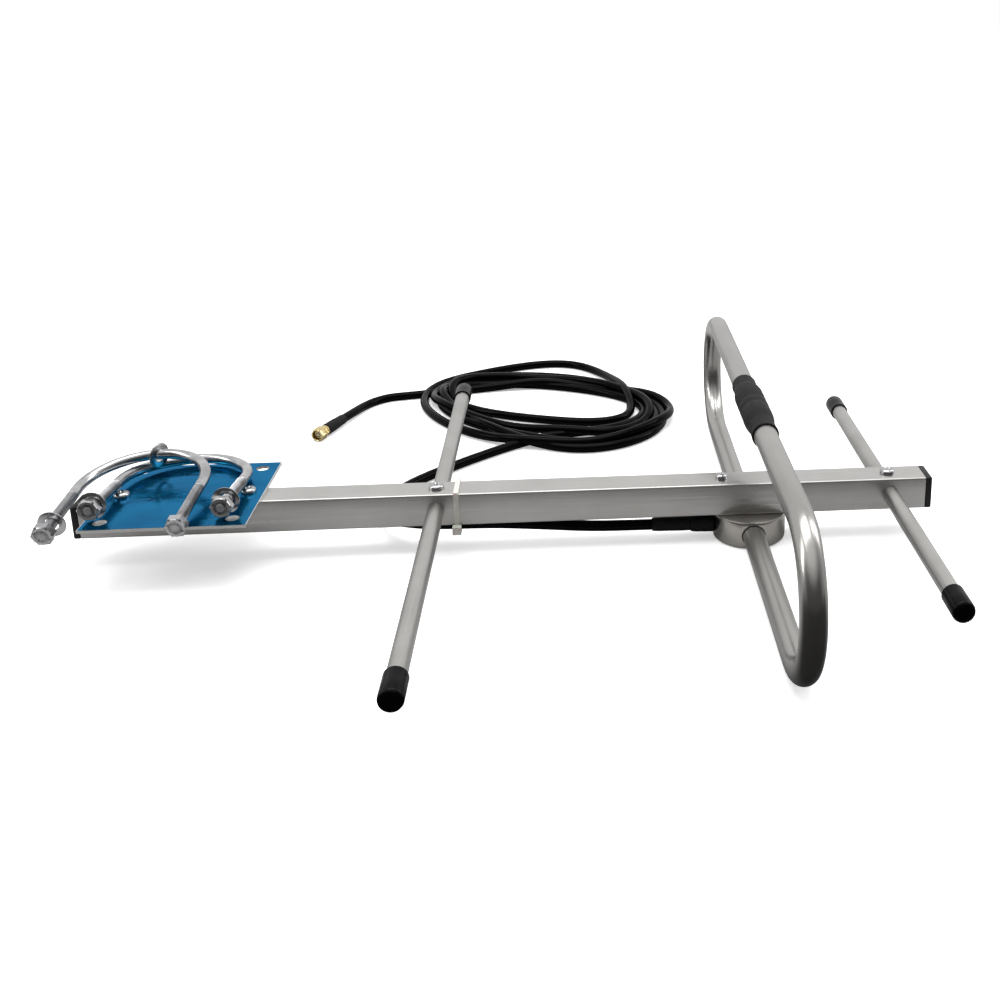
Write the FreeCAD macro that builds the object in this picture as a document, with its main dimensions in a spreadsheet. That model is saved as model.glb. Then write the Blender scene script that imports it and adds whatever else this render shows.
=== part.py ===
import FreeCAD, Part
import math
import os
import Sketcher
from FreeCAD import Placement, Rotation, Vector

# Three-element yagi antenna with a folded dipole, lying level.
# Row frame: the origin is the centre of the four U-bolt holes on the mast plate's top face.
# +X runs along the boom to the director, +Y along the elements, +Z is up.
# Each sub-part is one document object; its Label is the name of its file.

doc = FreeCAD.newDocument("yagi")

# ---------------------------------------------------------------- driving dimensions
SIZES = [
    # boom: hollow square aluminium tube
    ("boom_side", 18.0), ("boom_wall", 1.5), ("boom_length", 450.0), ("boom_rear", 52.5),
    ("boom_cap_flange", 3.8), ("boom_cap_stub", 12.0), ("boom_cap_play", 0.1),
    # mast plate with its protective film
    ("plate_side", 82.0), ("plate_thick", 1.5), ("ubolt_pitch", 65.0), ("ubolt_hole", 7.0),
    ("film_thick", 0.15), ("film_margin", 0.5),
    # parasitic elements: thin round tubes through the boom, with vinyl end caps
    ("element_tube", 9.0), ("element_wall", 1.0), ("element_play", 0.2),
    ("reflector_place", 131.0), ("reflector_length", 372.0),
    ("director_place", 378.0), ("director_length", 276.0),
    ("cap_wall", 1.0), ("cap_end", 2.0), ("cap_depth", 16.0),
    # folded dipole: two bent tubes in a vertical plane across the boom
    ("dipole_place", 301.0), ("dipole_tube", 12.0), ("dipole_wall", 1.2), ("dipole_length", 370.0),
    ("dipole_spacing", 70.0), ("dipole_gap", 2.0), ("feed_gap", 8.0), ("joint_place", -12.0),
    ("joint_gap", 0.5), ("coupler_length", 40.0), ("coupler_wall", 1.2), ("slip_play", 0.05),
    ("sleeve_length", 78.0), ("sleeve_wall", 0.6), ("sleeve_slope", 5.0),
    # feed box: round metal cup with a lid under the boom
    ("feedbox_size", 40.0), ("feedbox_tall", 16.0), ("feedbox_wall", 1.5), ("feedbox_floor", 1.2),
    ("lid_rim", 1.0), ("lid_spigot", 0.9), ("feedbox_bore_play", 0.3), ("feedbox_screw_offset", 15.7),
    ("spacer_length", 34.0), ("terminal_offset", 9.0), ("lug_size", 8.0), ("lug_thick", 0.6),
    # pan-head screws
    ("screw_shank", 3.9), ("screw_head", 8.2), ("screw_head_tall", 2.6), ("screw_length", 10.0),
    ("thin_shank", 2.9), ("thin_head", 6.4), ("thin_head_tall", 2.8), ("screw_play", 0.1),
    ("terminal_head", 5.5), ("terminal_head_tall", 2.0), ("terminal_length", 6.0),
    ("thin_nut_flats", 5.5), ("thin_nut_tall", 2.4),
    # U-bolts with their nuts and washers
    ("rod_size", 5.8), ("ubolt_leg", 44.0), ("thread_play", 0.05),
    ("nut_flats", 10.0), ("nut_tall", 5.0), ("washer_size", 14.0), ("washer_bore", 7.0),
    ("washer_thick", 1.2), ("nut_inset", 0.2),
    # coaxial cable, its shrink tubes and its tie
    ("cable_size", 6.0), ("feed_shrink_size", 10.2), ("feed_shrink_length", 13.0),
    ("thin_shrink_size", 8.0), ("thin_shrink_length", 21.0),
    ("tie_place", 142.0), ("tie_width", 2.6), ("tie_thick", 1.1), ("tie_head", 4.6),
    ("wire_size", 1.6),
    # coil of cable on the floor
    ("coil_x", 183.0), ("coil_y", 211.0), ("coil_long", 93.0), ("coil_deep", 88.0),
    ("coil_hole_long", 50.0), ("coil_hole_deep", 40.0), ("coil_tall", 14.0),
    # coaxial plug on the cable's end
    ("boot_size", 7.8), ("boot_length", 22.0), ("ferrule_size", 6.9), ("ferrule_start", 9.0),
    ("plug_body_size", 7.0), ("plug_body_length", 2.5), ("plug_neck", 5.2), ("plug_neck_length", 6.5),
    ("plug_core", 4.1), ("plug_pin", 1.3), ("plug_nut_flats", 8.0), ("plug_nut_length", 8.0),
    ("plug_nut_bore", 6.4), ("plug_nut_lip", 1.7), ("plug_nut_gap", 0.3),
]

sheet = doc.addObject("Spreadsheet::Sheet", "Sizes")
for row, (alias, value) in enumerate(SIZES, start=1):
    sheet.set("A%d" % row, alias)
    sheet.set("B%d" % row, str(value))
    sheet.setAlias("B%d" % row, alias)
doc.recompute()


def size(alias):
    return float(sheet.get(alias))


# Places that several pieces share, each written once from the cells above.
SHEET = "Sizes."
BOOM_TOP = "(0 - Sizes.plate_thick)"
BOOM_AXIS = "(0 - Sizes.plate_thick - Sizes.boom_side / 2)"
BOOM_FLOOR = "(0 - Sizes.plate_thick - Sizes.boom_side)"
DIPOLE_LOW = "(%s - Sizes.dipole_gap - Sizes.dipole_tube / 2)" % BOOM_FLOOR
DIPOLE_HIGH = "(%s + Sizes.dipole_spacing)" % DIPOLE_LOW
CUP_RIM = "(%s - Sizes.lid_rim)" % BOOM_FLOOR
CUP_FLOOR = "(%s - Sizes.feedbox_tall)" % BOOM_FLOOR

boom_axis = -size("plate_thick") - size("boom_side") / 2
boom_floor = -size("plate_thick") - size("boom_side")
dipole_low = boom_floor - size("dipole_gap") - size("dipole_tube") / 2
ground = boom_floor - size("feedbox_tall")

TURN_TO = {
    "X": Rotation(Vector(0, 1, 0), 90),
    "Y": Rotation(Vector(1, 0, 0), -90),
    "Z": Rotation(),
}
subparts = []


def keep(piece, label):
    piece.Label = label
    subparts.append(piece)
    return piece


def place_by(piece, x="0", y="0", z="0"):
    for letter, formula in (("x", x), ("y", y), ("z", z)):
        if formula != "0":
            piece.setExpression("Placement.Base." + letter, formula)


def cylinder(radius, length, x="0", y="0", z="0", along="Z"):
    piece = doc.addObject("Part::Cylinder", "cylinder")
    piece.Placement = Placement(Vector(), TURN_TO[along])
    piece.setExpression("Radius", radius)
    piece.setExpression("Height", length)
    place_by(piece, x, y, z)
    return piece


def block(long, deep, tall, x="0", y="0", z="0"):
    piece = doc.addObject("Part::Box", "block")
    piece.setExpression("Length", long)
    piece.setExpression("Width", deep)
    piece.setExpression("Height", tall)
    place_by(piece, x, y, z)
    return piece


def fuse(pieces):
    joined = doc.addObject("Part::MultiFuse", "joined")
    joined.Shapes = pieces
    joined.Refine = True
    return joined


def cut(base, tools):
    result = doc.addObject("Part::Cut", "cut")
    result.Base = base
    result.Tool = tools[0] if len(tools) == 1 else fuse(tools)
    return result


def group(pieces):
    """Several separate solids of one kind in one node."""
    together = doc.addObject("Part::Compound", "group")
    together.Links = pieces
    return together


# ---------------------------------------------------------------- sketch helpers
def new_body(label):
    body = doc.addObject("PartDesign::Body", label)
    return keep(body, label)


def origin_plane(body, role):
    return [item for item in body.Origin.OriginFeatures if item.Role == role][0]


def new_sketch(body, role, along_normal=None):
    sketch = body.newObject("Sketcher::SketchObject", "sketch")
    sketch.AttachmentSupport = [(origin_plane(body, role), "")]
    sketch.MapMode = "FlatFace"
    if along_normal is not None:
        sketch.setExpression("AttachmentOffset.Base.z", along_normal)
    return sketch


def pin_distance(sketch, kind, item, corner, formula):
    """Hold one point of the sketch at a formula from the origin, across or upward."""
    value = float(sketch.evalExpression(formula))
    number = sketch.addConstraint(Sketcher.Constraint(kind, -1, 1, item, corner, value))
    sketch.setExpression("Constraints[%d]" % number, formula)


def pin_point(sketch, item, corner, across, upward):
    pin_distance(sketch, "DistanceX", item, corner, across)
    pin_distance(sketch, "DistanceY", item, corner, upward)


def outline(sketch, corners):
    """A closed outline of straight lines through the corners."""
    count = len(corners)
    first = sketch.GeometryCount
    for index in range(count):
        angle = 2 * math.pi * index / count
        after = 2 * math.pi * (index + 1) / count
        start = Vector(math.cos(angle), math.sin(angle), 0)
        end = Vector(math.cos(after), math.sin(after), 0)
        sketch.addGeometry(Part.LineSegment(start, end))
    for index in range(count):
        following = first + (index + 1) % count
        sketch.addConstraint(Sketcher.Constraint("Coincident", first + index, 2, following, 1))
    for index, (across, upward) in enumerate(corners):
        pin_point(sketch, first + index, 1, across, upward)


def ring(sketch, across, upward, radius):
    item = sketch.addGeometry(Part.Circle(Vector(), Vector(0, 0, 1), 1.0))
    pin_point(sketch, item, 3, across, upward)
    number = sketch.addConstraint(Sketcher.Constraint("Radius", item, 1.0))
    sketch.setExpression("Constraints[%d]" % number, radius)


def rectangle(sketch, wide, tall):
    half_wide = "(%s) / 2" % wide
    half_tall = "(%s) / 2" % tall
    outline(sketch, [
        ("0 - " + half_wide, "0 - " + half_tall), (half_wide, "0 - " + half_tall),
        (half_wide, half_tall), ("0 - " + half_wide, half_tall),
    ])


def hexagon(sketch, flats):
    """Flat sides up and down."""
    corner = "%s / sqrt(3)" % flats
    shoulder = "%s / sqrt(3) / 2" % flats
    flat = "%s / 2" % flats
    outline(sketch, [
        (corner, "0"), (shoulder, flat), ("0 - " + shoulder, flat),
        ("0 - " + corner, "0"), ("0 - " + shoulder, "0 - " + flat), (shoulder, "0 - " + flat),
    ])


def pad(body, sketch, length):
    feature = body.newObject("PartDesign::Pad", "pad")
    feature.Profile = sketch
    feature.setExpression("Length", length)
    return feature


def pocket_through(body, sketch):
    feature = body.newObject("PartDesign::Pocket", "pocket")
    feature.Profile = sketch
    feature.Type = "ThroughAll"
    feature.Midplane = True
    return feature


def revolve(body, sketch, axis_name):
    feature = body.newObject("PartDesign::Revolution", "revolution")
    feature.Profile = sketch
    feature.ReferenceAxis = (sketch, [axis_name])
    feature.Angle = 360.0
    return feature


# ---------------------------------------------------------------- boom
def build_boom():
    """Square tube with cross holes for the two elements and screw holes in its walls."""
    side = "Sizes.boom_side"
    hollow = "(Sizes.boom_side - 2 * Sizes.boom_wall)"
    outer = block("Sizes.boom_length", side, side, "0 - Sizes.boom_rear", "0 - Sizes.boom_side / 2", BOOM_FLOOR)
    inner = block(
        "Sizes.boom_length", hollow, hollow, "0 - Sizes.boom_rear",
        "0 - %s / 2" % hollow, "%s + Sizes.boom_wall" % BOOM_FLOOR)
    tools = [inner]
    for station in ("reflector_place", "director_place"):
        tools.append(cylinder(
            "Sizes.element_tube / 2 + Sizes.element_play / 2", side,
            SHEET + station, "0 - Sizes.boom_side / 2", BOOM_AXIS, "Y"))
        tools.append(cylinder(
            "Sizes.screw_shank / 2", "2 * Sizes.boom_wall", SHEET + station, "0",
            "%s - 1.5 * Sizes.boom_wall" % BOOM_TOP))
    for sign in ("-", "+"):
        tools.append(cylinder(
            "Sizes.screw_shank / 2", "2 * Sizes.boom_wall", "0 %s Sizes.ubolt_pitch / 2" % sign, "0",
            "%s - 1.5 * Sizes.boom_wall" % BOOM_TOP))
        tools.append(cylinder(
            "Sizes.thin_shank / 2 + Sizes.screw_play", "Sizes.boom_side",
            "Sizes.dipole_place %s Sizes.feedbox_screw_offset" % sign, "0", BOOM_FLOOR))
    keep(cut(outer, tools), "boom_tube")


def build_boom_caps():
    """Square plastic plugs: a flange over the tube's end and a stub inside it."""
    for label, turn, end in (
            ("boom_cap_rear", -90, "0 - Sizes.boom_rear"),
            ("boom_cap_front", 90, "Sizes.boom_length - Sizes.boom_rear")):
        body = new_body(label)
        flange = new_sketch(body, "XY_Plane")
        rectangle(flange, "Sizes.boom_side", "Sizes.boom_side")
        pad(body, flange, "Sizes.boom_cap_flange")
        stub = new_sketch(body, "XY_Plane")
        stub_side = "(Sizes.boom_side - 2 * Sizes.boom_wall - 2 * Sizes.boom_cap_play)"
        rectangle(stub, stub_side, stub_side)
        feature = pad(body, stub, "Sizes.boom_cap_stub")
        feature.Reversed = True
        body.Placement = Placement(Vector(), Rotation(Vector(0, 1, 0), turn))
        place_by(body, end, "0", BOOM_AXIS)


# ---------------------------------------------------------------- mast plate
def plate_holes(sketch):
    for across in ("-", "+"):
        for upward in ("-", "+"):
            ring(sketch, "0 %s Sizes.ubolt_pitch / 2" % across, "0 %s Sizes.ubolt_pitch / 2" % upward,
                 "Sizes.ubolt_hole / 2")
        ring(sketch, "0 %s Sizes.ubolt_pitch / 2" % across, "0", "Sizes.screw_shank / 2")


def build_plate():
    """Pressed plate with four U-bolt holes and two screw holes, and the film still on it."""
    plate = new_body("mast_plate")
    face = new_sketch(plate, "XY_Plane")
    rectangle(face, "Sizes.plate_side", "Sizes.plate_side")
    pad(plate, face, "Sizes.plate_thick").Reversed = True
    holes = new_sketch(plate, "XY_Plane")
    plate_holes(holes)
    pocket_through(plate, holes)

    film = new_body("plate_film")
    sheet_side = "(Sizes.plate_side - 2 * Sizes.film_margin)"
    face = new_sketch(film, "XY_Plane")
    rectangle(face, sheet_side, sheet_side)
    pad(film, face, "Sizes.film_thick")
    holes = new_sketch(film, "XY_Plane")
    plate_holes(holes)
    pocket_through(film, holes)


# ---------------------------------------------------------------- screws
def pan_screw(head, head_tall, shank, length, x, y, z, along="Z"):
    """A pan head on its seat: head up and shank down, or head toward -X and shank toward +X."""
    if along == "Z":
        top = cylinder("%s / 2" % head, head_tall, x, y, z)
        stem = cylinder("%s / 2" % shank, length, x, y, "%s - %s" % (z, length))
    else:
        top = cylinder("%s / 2" % head, head_tall, "%s - %s" % (x, head_tall), y, z, "X")
        stem = cylinder("%s / 2" % shank, length, x, y, z, "X")
    return fuse([top, stem])


def build_screws():
    wide = ("Sizes.screw_head", "Sizes.screw_head_tall", "Sizes.screw_shank", "Sizes.screw_length")
    keep(pan_screw(*wide, "Sizes.reflector_place", "0", BOOM_TOP), "reflector_screw")
    keep(pan_screw(*wide, "Sizes.director_place", "0", BOOM_TOP), "director_screw")
    plate_screws = [
        pan_screw(*wide, "0 %s Sizes.ubolt_pitch / 2" % sign, "0", "Sizes.film_thick")
        for sign in ("-", "+")
    ]
    keep(group(plate_screws), "plate_screws")
    reach = "(Sizes.boom_side + Sizes.lid_rim + Sizes.lid_spigot + Sizes.thin_nut_tall)"
    long_screws = [
        pan_screw("Sizes.thin_head", "Sizes.thin_head_tall", "Sizes.thin_shank", reach,
                  "Sizes.dipole_place %s Sizes.feedbox_screw_offset" % sign, "0", BOOM_TOP)
        for sign in ("-", "+")
    ]
    keep(group(long_screws), "feed_box_screws")


# ---------------------------------------------------------------- reflector and director
def build_element(name):
    """One straight tube through the boom and a vinyl cap on each end."""
    place = "Sizes.%s_place" % name
    length = "Sizes.%s_length" % name
    start = "0 - %s / 2" % length
    tube = cylinder("Sizes.element_tube / 2", length, place, start, BOOM_AXIS, "Y")
    hollow = cylinder("Sizes.element_tube / 2 - Sizes.element_wall", length, place, start, BOOM_AXIS, "Y")
    pilot = cylinder("Sizes.screw_shank / 2", "Sizes.screw_length", place, "0",
                     "%s - Sizes.screw_length" % BOOM_TOP)
    keep(cut(tube, [hollow, pilot]), name + "_tube")
    for label, low in (
            ("_cap_near", "0 - %s / 2 - Sizes.cap_end" % length),
            ("_cap_far", "%s / 2 - Sizes.cap_depth" % length)):
        shell = cylinder("Sizes.element_tube / 2 + Sizes.cap_wall", "Sizes.cap_depth + Sizes.cap_end",
                         place, low, BOOM_AXIS, "Y")
        bore_low = "0 - %s / 2" % length if label == "_cap_near" else "%s / 2 - Sizes.cap_depth" % length
        bore = cylinder("Sizes.element_tube / 2", "Sizes.cap_depth", place, bore_low, BOOM_AXIS, "Y")
        keep(cut(shell, [bore]), name + label)


# ---------------------------------------------------------------- folded dipole
def build_dipole_half(label, sign, low_start, high_end):
    """A hairpin of round tube: lower run, half-circle bend, upper run."""
    body = new_body(label)
    place_by(body, "Sizes.dipole_place")
    centre = "(Sizes.dipole_length / 2 - Sizes.dipole_tube / 2 - Sizes.dipole_spacing / 2)"
    far = "0 %s %s" % ("-" if sign < 0 else "+", centre)
    path = new_sketch(body, "YZ_Plane")
    low, high, out = -30.0, 40.0, sign * 140.0
    mid = (low + high) / 2
    radius = (high - low) / 2
    if sign > 0:
        turn = Part.ArcOfCircle(Part.Circle(Vector(out, mid, 0), Vector(0, 0, 1), radius), -math.pi / 2, math.pi / 2)
        low_corner, high_corner = 1, 2
    else:
        turn = Part.ArcOfCircle(Part.Circle(Vector(out, mid, 0), Vector(0, 0, 1), radius), math.pi / 2, 3 * math.pi / 2)
        low_corner, high_corner = 2, 1
    path.addGeometry(Part.LineSegment(Vector(sign * 4, low, 0), Vector(out, low, 0)))
    path.addGeometry(turn)
    path.addGeometry(Part.LineSegment(Vector(out, high, 0), Vector(-12, high, 0)))
    path.addConstraint(Sketcher.Constraint("Coincident", 0, 2, 1, low_corner))
    path.addConstraint(Sketcher.Constraint("Coincident", 1, high_corner, 2, 1))
    pin_point(path, 0, 1, low_start, DIPOLE_LOW)
    pin_point(path, 0, 2, far, DIPOLE_LOW)
    pin_point(path, 2, 1, far, DIPOLE_HIGH)
    pin_point(path, 2, 2, high_end, DIPOLE_HIGH)
    pin_distance(path, "DistanceX", 1, 3, far)
    section = new_sketch(body, "XZ_Plane", "0 - (%s)" % low_start)
    ring(section, "0", DIPOLE_LOW, "Sizes.dipole_tube / 2")
    bore = new_sketch(body, "XZ_Plane", "0 - (%s)" % low_start)
    ring(bore, "0", DIPOLE_LOW, "Sizes.dipole_tube / 2 - Sizes.dipole_wall")
    doc.recompute()
    for kind, profile in (("AdditivePipe", section), ("SubtractivePipe", bore)):
        pipe = body.newObject("PartDesign::" + kind, "pipe")
        pipe.Profile = profile
        pipe.Spine = (path, ["Edge1", "Edge2", "Edge3"])
        doc.recompute()
    hole = new_sketch(body, "YZ_Plane")
    ring(hole, "0 %s Sizes.terminal_offset" % ("-" if sign < 0 else "+"), DIPOLE_LOW, "Sizes.thin_shank / 2")
    feature = body.newObject("PartDesign::Pocket", "pocket")
    feature.Profile = hole
    feature.setExpression("Length", "Sizes.dipole_tube")
    doc.recompute()


def build_dipole():
    build_dipole_half("dipole_half_near", -1, "0 - Sizes.feed_gap / 2", "Sizes.joint_place - Sizes.joint_gap / 2")
    build_dipole_half("dipole_half_far", 1, "Sizes.feed_gap / 2", "Sizes.joint_place + Sizes.joint_gap / 2")
    half = "Sizes.coupler_length / 2"
    outer = cylinder("Sizes.dipole_tube / 2 + Sizes.slip_play + Sizes.coupler_wall", "Sizes.coupler_length",
                     "Sizes.dipole_place", "Sizes.joint_place - %s" % half, DIPOLE_HIGH, "Y")
    inner = cylinder("Sizes.dipole_tube / 2 + Sizes.slip_play", "Sizes.coupler_length",
                     "Sizes.dipole_place", "Sizes.joint_place - %s" % half, DIPOLE_HIGH, "Y")
    keep(cut(outer, [inner]), "dipole_coupler")

    # The shrink sleeve hugs the tube at both ends and steps out over the coupler.
    sleeve = new_body("dipole_sleeve")
    place_by(sleeve, "Sizes.dipole_place", "Sizes.joint_place", DIPOLE_HIGH)
    profile = new_sketch(sleeve, "YZ_Plane")
    thin = "(Sizes.dipole_tube / 2 + Sizes.slip_play)"
    thick = "(%s + Sizes.coupler_wall + Sizes.slip_play)" % thin
    end = "Sizes.sleeve_length / 2"
    step = "(%s + Sizes.sleeve_slope)" % half
    stations = [(end, thin), (step, thin), (half, thick)]
    inside = [("0 - " + y, r) for y, r in stations] + [(y, r) for y, r in reversed(stations)]
    outside = [(y, "%s + Sizes.sleeve_wall" % r) for y, r in reversed(inside)]
    outline(profile, inside + outside)
    revolve(sleeve, profile, "H_Axis")


# ---------------------------------------------------------------- feed box
def build_feed_box():
    centre = "Sizes.dipole_place"
    radius = "Sizes.feedbox_size / 2"
    bore = "(Sizes.feedbox_size / 2 - Sizes.feedbox_wall)"
    lid = fuse([
        cylinder(radius, "Sizes.lid_rim", centre, "0", CUP_RIM),
        cylinder("%s - Sizes.slip_play" % bore, "Sizes.lid_spigot", centre, "0",
                 "%s - Sizes.lid_spigot" % CUP_RIM),
    ])
    screw_holes = [
        cylinder("Sizes.thin_shank / 2 + Sizes.screw_play", "Sizes.feedbox_tall",
                 "%s %s Sizes.feedbox_screw_offset" % (centre, sign), "0",
                 "%s - Sizes.feedbox_tall / 2" % CUP_RIM)
        for sign in ("-", "+")
    ]
    keep(cut(lid, screw_holes), "feed_box_lid")

    cup_tall = "(Sizes.feedbox_tall - Sizes.lid_rim)"
    cup = cylinder(radius, cup_tall, centre, "0", CUP_FLOOR)
    hollow = cylinder(bore, cup_tall, centre, "0", "%s + Sizes.feedbox_floor" % CUP_FLOOR)
    tube_way = cylinder("Sizes.dipole_tube / 2 + Sizes.feedbox_bore_play", "Sizes.feedbox_size",
                        centre, "0 - " + radius, DIPOLE_LOW, "Y")
    cable_way = cylinder("Sizes.cable_size / 2", radius, "%s - %s" % (centre, radius), "0", DIPOLE_LOW, "X")
    keep(cut(cup, [hollow, tube_way, cable_way]), "feed_box_cup")

    nuts = []
    for sign in ("-", "+"):
        prism = doc.addObject("Part::Prism", "prism")
        prism.Polygon = 6
        prism.Placement = Placement(Vector(), Rotation(Vector(0, 0, 1), 30))
        prism.setExpression("Circumradius", "Sizes.thin_nut_flats / sqrt(3)")
        prism.setExpression("Height", "Sizes.thin_nut_tall")
        seat = "%s - Sizes.lid_spigot - Sizes.thin_nut_tall" % CUP_RIM
        spot = "%s %s Sizes.feedbox_screw_offset" % (centre, sign)
        place_by(prism, spot, "0", seat)
        hole = cylinder("Sizes.thin_shank / 2", "Sizes.thin_nut_tall", spot, "0", seat)
        nuts.append(cut(prism, [hole]))
    keep(group(nuts), "feed_box_nuts")

    # Plastic spacer: plugs into both lower runs and keeps their ends apart.
    plug = "(Sizes.dipole_tube / 2 - Sizes.dipole_wall)"
    spacer = fuse([
        cylinder(plug, "Sizes.spacer_length", centre, "0 - Sizes.spacer_length / 2", DIPOLE_LOW, "Y"),
        cylinder("Sizes.dipole_tube / 2", "Sizes.feed_gap", centre, "0 - Sizes.feed_gap / 2", DIPOLE_LOW, "Y"),
    ])
    face = "(%s - Sizes.dipole_tube / 2)" % centre
    pilots = [
        cylinder("Sizes.thin_shank / 2", "Sizes.terminal_length", face,
                 "0 %s Sizes.terminal_offset" % sign, DIPOLE_LOW, "X")
        for sign in ("-", "+")
    ]
    keep(cut(spacer, pilots), "feed_spacer")

    lugs = []
    screws = []
    for sign in ("-", "+"):
        offset = "0 %s Sizes.terminal_offset" % sign
        disc = cylinder("Sizes.lug_size / 2", "Sizes.lug_thick", "%s - Sizes.lug_thick" % face,
                        offset, DIPOLE_LOW, "X")
        hole = cylinder("Sizes.thin_shank / 2", "Sizes.lug_thick", "%s - Sizes.lug_thick" % face,
                        offset, DIPOLE_LOW, "X")
        lugs.append(cut(disc, [hole]))
        screws.append(pan_screw(
            "Sizes.terminal_head", "Sizes.terminal_head_tall", "Sizes.thin_shank",
            "(Sizes.terminal_length + Sizes.lug_thick)", "(%s - Sizes.lug_thick)" % face,
            offset, DIPOLE_LOW, "X"))
    keep(group(lugs), "terminal_lugs")
    keep(group(screws), "terminal_screws")


# ---------------------------------------------------------------- U-bolts, nuts and washers
def tilted(x, y, z, yaw, pitch, roll=0.0):
    """Where a loose U-bolt lies: the middle of its two tips, and how it is turned."""
    turn = Rotation(Vector(0, 0, 1), yaw) * Rotation(Vector(1, 0, 0), pitch) * Rotation(Vector(0, 1, 0), roll)
    return Placement(Vector(x, y, z), turn)


LOWER_POSE = tilted(-4.2, -36.0, 7.65, -1.7, -2.88)
UPPER_POSE = tilted(-22.9, -47.8, 1.6, -2.5, 8.0, -3.0)
LOOSE_WASHER_TURN = 23.0
LOOSE_WASHER_PLACE = 1.8
WASHER_SLACK = 0.5


def build_ubolt(label, pose):
    """Round rod bent to a half circle between two straight threaded legs."""
    body = new_body(label)
    reach = "Sizes.ubolt_pitch / 2"
    path = new_sketch(body, "XY_Plane")
    path.addGeometry(Part.LineSegment(Vector(-32, 0, 0), Vector(-32, 44, 0)))
    path.addGeometry(Part.ArcOfCircle(Part.Circle(Vector(0, 44, 0), Vector(0, 0, 1), 32), 0, math.pi))
    path.addGeometry(Part.LineSegment(Vector(32, 44, 0), Vector(32, 0, 0)))
    path.addConstraint(Sketcher.Constraint("Coincident", 0, 2, 1, 2))
    path.addConstraint(Sketcher.Constraint("Coincident", 1, 1, 2, 1))
    pin_point(path, 0, 1, "0 - " + reach, "0")
    pin_point(path, 0, 2, "0 - " + reach, "Sizes.ubolt_leg")
    pin_point(path, 2, 1, reach, "Sizes.ubolt_leg")
    pin_point(path, 2, 2, reach, "0")
    pin_distance(path, "DistanceY", 1, 3, "Sizes.ubolt_leg")
    section = new_sketch(body, "XZ_Plane")
    ring(section, "0 - " + reach, "0", "Sizes.rod_size / 2")
    doc.recompute()
    pipe = body.newObject("PartDesign::AdditivePipe", "pipe")
    pipe.Profile = section
    pipe.Spine = (path, ["Edge1", "Edge2", "Edge3"])
    doc.recompute()
    body.Placement = pose


def on_leg(pose, side, along):
    """A placement on a U-bolt's leg: side is -1 left or +1 right, along is from its tip."""
    spot = Placement(Vector(side * size("ubolt_pitch") / 2, along, 0), Rotation(Vector(1, 0, 0), -90))
    return pose.multiply(spot)


def build_nut(label, pose, side):
    body = new_body(label)
    sketch = new_sketch(body, "XY_Plane")
    hexagon(sketch, "Sizes.nut_flats")
    ring(sketch, "0", "0", "Sizes.rod_size / 2 + Sizes.thread_play")
    pad(body, sketch, "Sizes.nut_tall")
    body.Placement = on_leg(pose, side, size("nut_inset"))


def build_washer(label, placement, lift):
    """A washer is wider than the rod, so it sits a little above or below the rod's centre."""
    body = new_body(label)
    sketch = new_sketch(body, "XY_Plane")
    ring(sketch, "0", "0", "Sizes.washer_size / 2")
    ring(sketch, "0", "0", "Sizes.washer_bore / 2")
    pad(body, sketch, "Sizes.washer_thick")
    placement.Base = placement.Base + Vector(0, 0, lift)
    body.Placement = placement


def build_ubolts():
    build_ubolt("ubolt_lower", LOWER_POSE)
    build_ubolt("ubolt_upper", UPPER_POSE)
    build_nut("nut_lower_left", LOWER_POSE, -1)
    build_nut("nut_lower_right", LOWER_POSE, 1)
    build_nut("nut_upper_left", UPPER_POSE, -1)
    build_nut("nut_upper_right", UPPER_POSE, 1)
    behind_nut = size("nut_inset") + size("nut_tall")
    build_washer("washer_lower_left", on_leg(LOWER_POSE, -1, behind_nut + 1.2), WASHER_SLACK)
    build_washer("washer_lower_right", on_leg(LOWER_POSE, 1, behind_nut + 4.0), WASHER_SLACK)
    build_washer("washer_upper_left", on_leg(UPPER_POSE, -1, behind_nut + 6.5), -WASHER_SLACK)
    # The fourth washer hangs askew on the bow of the upper U-bolt.
    radius = size("ubolt_pitch") / 2
    around = math.radians(LOOSE_WASHER_PLACE)
    bow = Vector(-radius * math.sin(around), size("ubolt_leg") + radius * math.cos(around), 0)
    askew = Rotation(Vector(0, 0, 1), -LOOSE_WASHER_TURN) * Rotation(Vector(0, 1, 0), 90)
    half_thick = Placement(Vector(0, 0, -size("washer_thick") / 2), Rotation())
    build_washer("washer_loose", UPPER_POSE.multiply(Placement(bow, askew)).multiply(half_thick), -WASHER_SLACK)


# ---------------------------------------------------------------- coaxial cable
def solid_along(points, diameter):
    """Round cord: straight runs joined by the largest tangent arcs that its points allow."""
    runs = [points[i + 1] - points[i] for i in range(len(points) - 1)]
    edges = []
    radii = []
    start = points[0]
    for before, after, corner in zip(runs, runs[1:], points[1:-1]):
        turn = before.getAngle(after)
        reach = 0.45 * min(before.Length, after.Length)
        radii.append(reach / math.tan(turn / 2))
        enter = corner - Vector(before).normalize() * reach
        leave = corner + Vector(after).normalize() * reach
        inward = (enter + leave) * 0.5 - corner
        to_arc = radii[-1] * (1 / math.cos(turn / 2) - 1)
        middle = corner + Vector(inward).normalize() * to_arc
        edges.append(Part.LineSegment(start, enter).toShape())
        edges.append(Part.Arc(enter, middle, leave).toShape())
        start = leave
    edges.append(Part.LineSegment(start, points[-1]).toShape())
    path = Part.Wire(edges)
    circle = Part.Circle(points[0], runs[0], diameter / 2).toShape()
    tube = path.makePipeShell([Part.Wire([circle])], True, True)
    expected = math.pi * diameter ** 2 / 4 * path.Length
    print("cord %.1f mm long, volume %.4f of section times length, radii %s"
          % (path.Length, tube.Volume / expected, " ".join("%.0f" % r for r in radii)))
    return tube


def keep_shape(label, shape):
    piece = doc.addObject("Part::Feature", label)
    piece.Shape = shape
    return keep(piece, label)


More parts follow.
